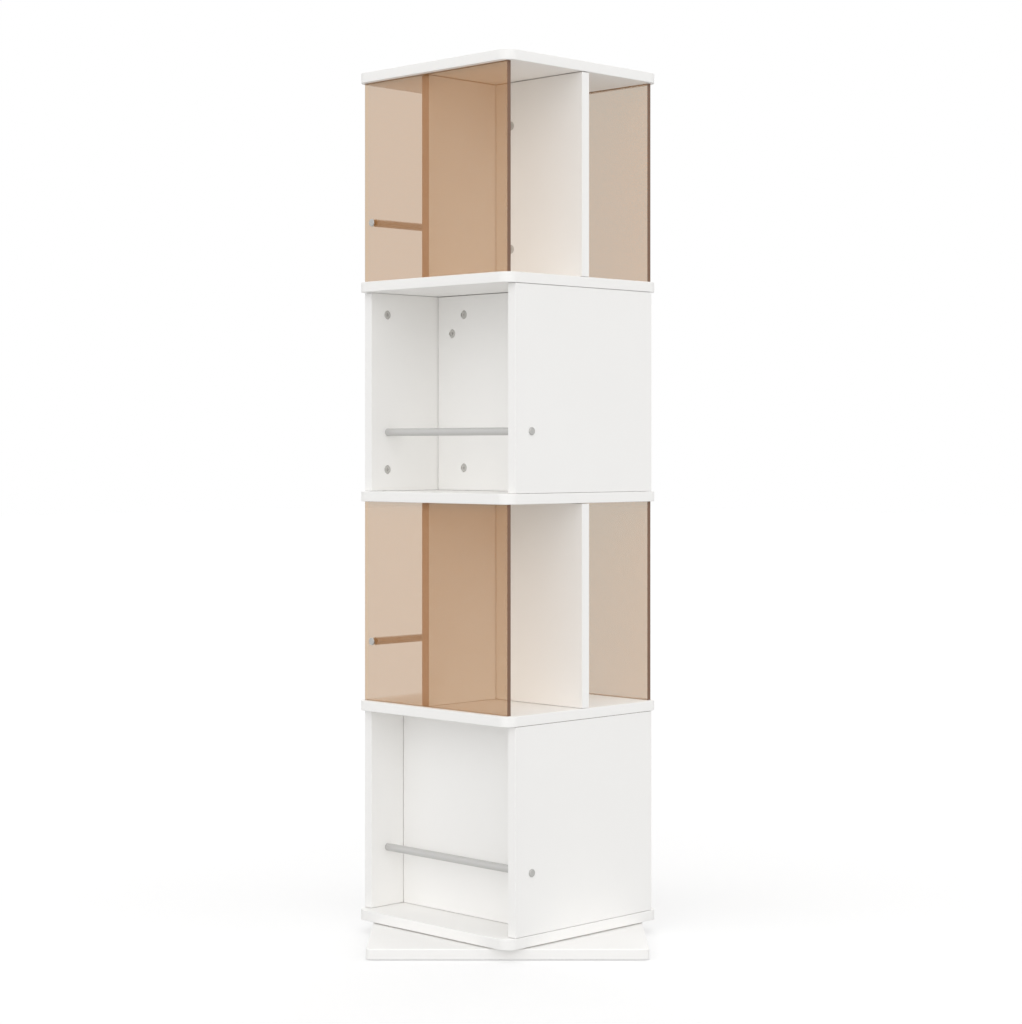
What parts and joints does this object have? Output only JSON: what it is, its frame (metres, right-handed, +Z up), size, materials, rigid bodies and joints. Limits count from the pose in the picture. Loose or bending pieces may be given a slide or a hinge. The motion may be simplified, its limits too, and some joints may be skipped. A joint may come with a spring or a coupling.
{
  "type": "rotating display cabinet",
  "caption": "Tall white cabinet of stacked open compartments with tinted panes and grey rails, turning freely on a flat square base plate.",
  "frame": {"origin": "on the floor under the turning axis, at the middle of the base plate", "axes": "+Z up along the turning axis, -Y towards the side with the lowest rail, +X towards its right"},
  "size_m": [0.593, 0.593, 1.3575],
  "materials": {
    "white_laminate": "satin white laminate",
    "tinted_acrylic": "clear brown, polished",
    "grey_rail": "satin grey",
    "grey_metal": "satin zinc plate",
    "bright_steel": "bright",
    "bearing_ring": "satin",
    "cage_plastic": "moulded",
    "pad_rubber": "matt",
    "beech": "plain beech"
  },
  "bodies": {
    "base": {"base_plate": "white_laminate", "foot_pads": "pad_rubber", "bearing_outer_ring": "bearing_ring", "base_screws": "bright_steel"},
    "ball_row": {"ball_cage": "cage_plastic", "bearing_balls": "bright_steel"},
    "carousel": {"bottom_board": "white_laminate", "lower_board": "white_laminate", "middle_board": "white_laminate", "upper_board": "white_laminate", "top_board": "white_laminate", "bearing_inner_ring": "bearing_ring", "turntable_screws": "bright_steel", "tier_1_left_panel": "white_laminate", "tier_1_right_panel": "white_laminate", "tier_1_wall": "white_laminate", "tier_3_left_panel": "white_laminate", "tier_3_right_panel": "white_laminate", "tier_3_wall": "white_laminate", "tier_2_divider": "white_laminate", "tier_2_partition": "white_laminate", "tier_4_divider": "white_laminate", "tier_4_partition": "white_laminate", "tier_2_front_pane": "tinted_acrylic", "tier_2_back_pane": "tinted_acrylic", "tier_4_front_pane": "tinted_acrylic", "tier_4_back_pane": "tinted_acrylic", "tier_1_rail": "grey_rail", "tier_2_rail": "grey_rail", "tier_3_rail": "grey_rail", "tier_4_rail": "grey_rail", "rail_screws": "grey_metal", "cam_locks": "grey_metal", "cam_bolts": "bright_steel", "wood_dowels": "beech"}
  },
  "joints": [
    {"name": "turntable_spin", "type": "hinge", "parent": "base", "child": "carousel", "pos_m": [0, 0, 0.0195], "axis": [0, 0, 1], "continuous": true},
    {"name": "cage_spin", "type": "hinge", "parent": "base", "child": "ball_row", "pos_m": [0, 0, 0.0195], "axis": [0, 0, 1], "continuous": true}
  ],
  "couplings": [
    {"joint": "cage_spin", "follows": "turntable_spin", "ratio": 0.5}
  ]
}
